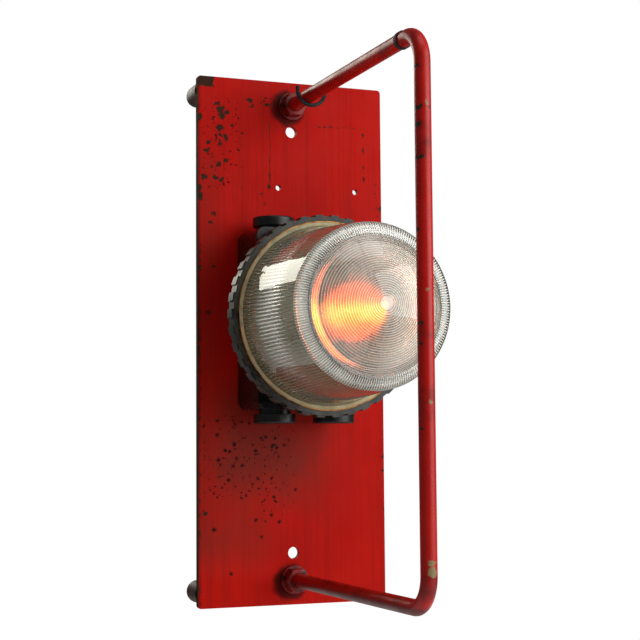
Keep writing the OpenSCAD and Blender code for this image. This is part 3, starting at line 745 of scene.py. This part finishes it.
FLANGE_R = GLASS_HIGH.x - AXIS_X
FLANGE_BACK = FRONT_Y - GLASS_HIGH.y
GLASS_NOSE = FRONT_Y - GLASS_LOW.y
FLANGE_FRONT = FLANGE_BACK + 2.5 * MM
GLASS_WALL = 4 * MM
FOOT_R = FLANGE_R - 5 * MM
FOOT_END = FLANGE_BACK + 6.6 * MM
WALL_START = FLANGE_BACK + 10.1 * MM
WALL_R_BACK = FLANGE_R - 6.6 * MM
WALL_R_FRONT = FLANGE_R - 13.9 * MM
SHOULDER_R = 10 * MM
LENS_RISE = 21 * MM
GLASS_FACE = GLASS_NOSE - LENS_RISE
WALL_END = GLASS_FACE - SHOULDER_R
LEDGE_R = WALL_R_FRONT - SHOULDER_R
LENS_R = 53 * MM
LENS_BALL_R = 76 * MM
BOSS_R = 4.8 * MM
BOSS_RISE = 1.5 * MM
LENS_BALL_DEPTH = GLASS_NOSE - BOSS_RISE - LENS_BALL_R
LENS_PITCH = 1.75 * MM
LENS_STEP = 0.9 * MM
LENS_MARGIN = 4.6 * MM
SMALL_EDGE = 0.4 * MM
SMOOTH_COLUMNS = 192
RIBS, TEETH = 144, 192
RIB_COLUMNS = 1152
RIB_HEIGHT = 0.7 * MM
TOOTH_HEIGHT = 1.3 * MM
OUTSIDE, WALL_INSIDE, SHOULDER_INSIDE, LENS_INSIDE = range(4)


def flute(turn, count):
    """Height of a rounded flute: 1 on its crest, falling to a sharp valley at 0."""
    return abs(math.cos(math.pi * count * turn))


def dome(radius, inset=0.0):
    """Depth of the lens's ball at a radius."""
    return LENS_BALL_DEPTH + math.sqrt((LENS_BALL_R - inset) ** 2 - radius ** 2)


def wall_radius(depth):
    """Outer radius of the glass's wall at a depth: a short thick foot, then a long taper."""
    if depth < WALL_START:
        part = min(1.0, (WALL_START - depth) / (WALL_START - FOOT_END))
        return WALL_R_BACK + (FOOT_R - WALL_R_BACK) * part
    part = (depth - WALL_START) / (WALL_END - WALL_START)
    return WALL_R_BACK + (WALL_R_FRONT - WALL_R_BACK) * part


def smooth_rows():
    """The glass's smooth outside, from its flange to the middle of its nose: (radius, depth) pairs."""
    edge = SMALL_EDGE
    rows = [(FOOT_R - GLASS_WALL, FLANGE_BACK), (FLANGE_R - edge, FLANGE_BACK),
            (FLANGE_R, FLANGE_BACK + edge), (FLANGE_R, FLANGE_FRONT - edge),
            (FLANGE_R - edge, FLANGE_FRONT), (FOOT_R + edge, FLANGE_FRONT),
            (FOOT_R, FLANGE_FRONT + edge), (FOOT_R, FOOT_END), (WALL_R_BACK, WALL_START)]
    wall_steps, shoulder_steps, lens_steps = 4, 10, 15
    for step in range(1, wall_steps + 1):
        depth = WALL_START + (WALL_END - WALL_START) * step / wall_steps
        rows.append((wall_radius(depth), depth))
    for step in range(1, shoulder_steps + 1):
        turn = math.radians(90) * step / shoulder_steps
        rows.append((LEDGE_R + SHOULDER_R * math.cos(turn), WALL_END + SHOULDER_R * math.sin(turn)))
    rows.append((LENS_R + edge, GLASS_FACE - edge))
    rows.append((LENS_R, dome(LENS_R) + edge))
    rim = LENS_R - 0.6 * MM
    for step in range(lens_steps + 1):
        radius = rim + (BOSS_R + edge - rim) * step / lens_steps
        rows.append((radius, dome(radius)))
    rows += [(BOSS_R, dome(BOSS_R) + edge), (BOSS_R, GLASS_NOSE - edge), (BOSS_R - edge, GLASS_NOSE)]
    return rows


def moulded_rows():
    """The glass's inside, from the lens's middle back to the flange.

    A row is (radius, depth, height, count, tilt, zone): flutes of that height and count stand on the
    surface, whose normal leans by tilt from the radius towards the nose. The zone is its material."""
    rows = []
    rings = int((LENS_R - LENS_MARGIN - BOSS_R) / LENS_PITCH)
    for ring in range(rings):
        inner = BOSS_R + ring * LENS_PITCH
        outer = inner + 0.94 * LENS_PITCH
        step = LENS_STEP * (0.25 + 0.75 * (ring + 1) / rings)
        middle = (inner + outer) / 2
        rows.append((inner, dome(inner, GLASS_WALL), 0.0, 0, 0.0, LENS_INSIDE))
        rows.append((middle, dome(middle, GLASS_WALL) - 0.62 * step, 0.0, 0, 0.0, LENS_INSIDE))
        rows.append((outer, dome(outer, GLASS_WALL) - step, 0.0, 0, 0.0, LENS_INSIDE))
    rim = BOSS_R + rings * LENS_PITCH
    rows.append((rim, dome(rim, GLASS_WALL), 0.0, 0, 0.0, LENS_INSIDE))
    inner_r = SHOULDER_R - GLASS_WALL
    steps = 7
    for step in range(steps + 1):
        turn = math.radians(90) * (1 - step / steps)
        rise = min(1.0, 2 * math.sin(math.pi * step / steps))
        rows.append((LEDGE_R + inner_r * math.cos(turn), WALL_END + inner_r * math.sin(turn),
                     TOOTH_HEIGHT * rise, TEETH, turn, SHOULDER_INSIDE))
    for depth, height in ((WALL_END - 2.5 * MM, 0.0), (WALL_END - 4 * MM, RIB_HEIGHT),
                          ((WALL_END + WALL_START) / 2, RIB_HEIGHT), (WALL_START, RIB_HEIGHT),
                          (FOOT_END, RIB_HEIGHT), (FLANGE_FRONT, RIB_HEIGHT), (FLANGE_BACK + 1 * MM, 0.0)):
        rows.append((wall_radius(depth) - GLASS_WALL, depth, height, RIBS, 0.0, WALL_INSIDE))
    return rows


def lantern_mesh():
    """One closed skin of the glass, round from its flange to its nose and back along the inside."""
    work = bmesh.new()
    rings = []
    zones = []
    for radius, depth in smooth_rows():
        turns = [2 * math.pi * k / SMOOTH_COLUMNS for k in range(SMOOTH_COLUMNS)]
        rings.append([work.verts.new(lamp_point(radius, turn, depth)) for turn in turns])
        zones.append(OUTSIDE)
    rings.append([work.verts.new(lamp_point(0.0, 0.0, GLASS_NOSE))])
    rings.append([work.verts.new(lamp_point(0.0, 0.0, dome(0.0, GLASS_WALL)))])
    zones += [OUTSIDE, LENS_INSIDE]
    for radius, depth, height, count, tilt, zone in moulded_rows():
        columns = RIB_COLUMNS if count else SMOOTH_COLUMNS
        ring = []
        for column in range(columns):
            rise = height * flute(column / columns, count) if count else 0.0
            r = radius - rise * math.cos(tilt)
            d = depth - rise * math.sin(tilt)
            ring.append(work.verts.new(lamp_point(r, 2 * math.pi * column / columns, d)))
        rings.append(ring)
        zones.append(zone)
    for low, high, zone in zip(rings, rings[1:] + rings[:1], zones):
        join_rings(work, low, high, zone)
    bmesh.ops.recalc_face_normals(work, faces=work.faces)
    mesh = bpy.data.meshes.new("lantern_glass")
    shade(work, mesh)
    return mesh


def globe_materials():
    """Materials of the globe, in the order of its zones."""
    # Each zone's glow is painted glow, and its darker colour is painted shade along the grooves
    ribs = moulded_glass("glass_ribs", clear=0.86, pale=(0.72, 0.66, 0.45, 1), groove_shade=(0.08, 0.07, 0.04, 1),
                         steps=rib_steps, width=0.55, roughness=0.08, glow=0.09)
    teeth = moulded_glass("glass_teeth", clear=0.62, pale=(0.95, 0.95, 0.88, 1), groove_shade=(0.04, 0.04, 0.03, 1),
                          steps=tooth_steps, width=0.5, roughness=0.1, glow=0.28)
    lens = moulded_glass("glass_rings", clear=0.6, pale=(0.98, 0.93, 0.85, 1), groove_shade=(0.16, 0.13, 0.1, 1),
                         steps=ring_steps, width=0.45, roughness=0.22, glow=0.3)
    return [lantern_glass(), ribs, teeth, lens]


# ---------------------------------------------------------------- guard bar

ROD_R = (GUARD_HIGH.x - GUARD_LOW.x) / 2
GUARD_BEND = 24 * MM
ROD_SIDES = 40
LEG_STEPS = 12
BEND_STEPS = 16
THREAD_PITCH = 1.75 * MM
THREAD_DEPTH = 0.7 * MM
THREAD_CREST = 0.05 * MM


def guard_path():
    """Centre points of the rod, from its upper threaded end round to the lower one."""
    back, front = GUARD_HIGH.y, GUARD_LOW.y + ROD_R
    top, bottom = GUARD_HIGH.z - ROD_R, GUARD_LOW.z + ROD_R
    bend_start = front + GUARD_BEND
    points = [Vector((0, back + (bend_start - back) * k / LEG_STEPS, top)) for k in range(LEG_STEPS + 1)]
    for k in range(1, BEND_STEPS):
        turn = math.radians(90) * k / BEND_STEPS
        y = front + GUARD_BEND * (1 - math.sin(turn))
        z = top - GUARD_BEND * (1 - math.cos(turn))
        points.append(Vector((0, y, z)))
    middle = (top + bottom) / 2
    half = (top - bottom) / 2 - GUARD_BEND
    points += [Vector((0, front, middle + half * (1 - k / LEG_STEPS))) for k in range(LEG_STEPS + 1)]
    mirrored = [Vector((p.x, p.y, 2 * middle - p.z)) for p in reversed(points) if p.z > middle + 0.01 * MM]
    return points + mirrored


def guard_mesh():
    """The rod swept along its path, with the thread that shows behind the plate cut into its two ends."""
    path = guard_path()
    work = bmesh.new()
    rings = []

    def add_ring(centre, heading, radius):
        side = Vector((1, 0, 0))
        other = heading.cross(side)
        turns = [2 * math.pi * k / ROD_SIDES for k in range(ROD_SIDES)]
        spokes = [math.cos(turn) * side + math.sin(turn) * other for turn in turns]
        rings.append([work.verts.new(centre + radius * spoke) for spoke in spokes])

    def add_thread(end, heading, rows):
        for row in rows:
            cut = THREAD_DEPTH if row % 2 == 0 else THREAD_CREST
            add_ring(Vector((0, end.y - row * THREAD_PITCH / 2, end.z)), heading, ROD_R - cut)

    thread_rows = range(int((GUARD_HIGH.y - PLATE_HIGH.y) / (THREAD_PITCH / 2)))
    add_thread(path[0], Vector((0, -1, 0)), thread_rows)
    for before, here, after in zip(path, path[1:], path[2:]):
        add_ring(here, (after - before).normalized(), ROD_R)
    add_thread(path[-1], Vector((0, 1, 0)), reversed(thread_rows))
    for low, high in zip(rings, rings[1:]):
        join_rings(work, low, high)
    work.faces.new(rings[0])
    work.faces.new(rings[-1])
    bmesh.ops.recalc_face_normals(work, faces=work.faces)
    mesh = bpy.data.meshes.new("guard_rod")
    shade(work, mesh)
    return mesh


# ---------------------------------------------------------------- assembly

def build():
    """Gives every CAD node its finish, and the larger ones a softened or finer piece in their place."""
    hardware = hardware_red()
    brass = metal("contact_brass", srgb(190, 150, 84), srgb(120, 88, 48), 0.3)
    zinc = metal("zinc_plate", srgb(160, 160, 156), srgb(96, 92, 84), 0.35)
    black_rubber = rubber("black_rubber", srgb(18, 18, 18), srgb(42, 42, 40))
    tie_cord = rubber("tie_cord", srgb(20, 20, 20), srgb(38, 38, 40))
    base_black = phenolic("base_black", srgb(7, 8, 6), srgb(26, 28, 24), 0.5, 0.2)
    cap_black = phenolic("cap_black", srgb(7, 8, 6), srgb(30, 32, 28), 0.48, 0.28)
    ring_dark = phenolic("ring_dark", srgb(20, 22, 18), srgb(62, 66, 56), 0.4, 0.34)
    glazed = porcelain()
    lit_glass = thin_glass()

    soften("back_plate", 0.5 * MM, plate_red())
    soften("standoff_pegs", 0.4 * MM, peg_brown())
    show(guard_mesh(), "guard_rod", [guard_red()], "guard_bar")
    for node in ("guard_front_nuts", "guard_front_washers", "guard_rear_nuts", "guard_rear_washers"):
        soften(node, 0.5 * MM, hardware)

    soften("base_housing", 1.2 * MM, base_black, 3)
    for node in ("entry_cap_top_left", "entry_cap_top_right", "entry_cap_bottom_left", "entry_gland_nut"):
        soften(node, 0.4 * MM, cap_black)
    soften("clamp_ring", 0.45 * MM, ring_dark)
    show(lantern_mesh(), "lantern_glass", globe_materials(), "glass_globe")

    paint_node("slip_ring", metal("slip_bronze", srgb(170, 122, 70), srgb(96, 60, 32), 0.28))
    paint_node("glass_gasket", rubber("cream_rubber", srgb(196, 192, 152), srgb(158, 154, 118)))
    for node in ("base_gasket", "seat_gasket", "entry_seals", "entry_gland_seal"):
        paint_node(node, black_rubber)
    for node in ("cord_hook", "cord_band"):
        paint_node(node, tie_cord)
    for node in ("base_screws", "base_washers", "base_nuts", "bracket_screws", "lampholder_bracket",
                 "lampholder_screws"):
        paint_node(node, zinc)
    for node in ("lampholder_shell", "lampholder_contact", "lampholder_terminals", "terminal_clamps",
                 "terminal_screws", "bulb_cap"):
        paint_node(node, brass)
    for node in ("lampholder_body", "terminal_block"):
        paint_node(node, glazed)
    paint_node("live_wire", insulation("wire_brown", srgb(104, 58, 30)))
    paint_node("neutral_wire", insulation("wire_blue", srgb(40, 70, 130)))
    paint_node("bulb_insulator", phenolic("black_vitrite", srgb(12, 10, 14), srgb(40, 34, 44), 0.5, 0.1))
    paint_node("bulb_tip_contact", metal("solder", srgb(150, 150, 150), srgb(90, 90, 90), 0.4))
    for node in ("bulb_glass", "bulb_stem"):
        paint_node(node, lit_glass)
    paint_node("bulb_filament", hot_wire())


bpy.context.scene.view_settings.view_transform = "Standard"
add_camera()
add_world()
add_floor()
add_softbox("key", 42, 16, 2.3, 2.2, 2.0, 46)
add_softbox("top", 5, 66, 1.5, 1.2, 0.6, 4)
add_softbox("back_left", -165, 24, 1.6, 0.75, 0.72, 7.5, CREAM_LIGHT)
build()
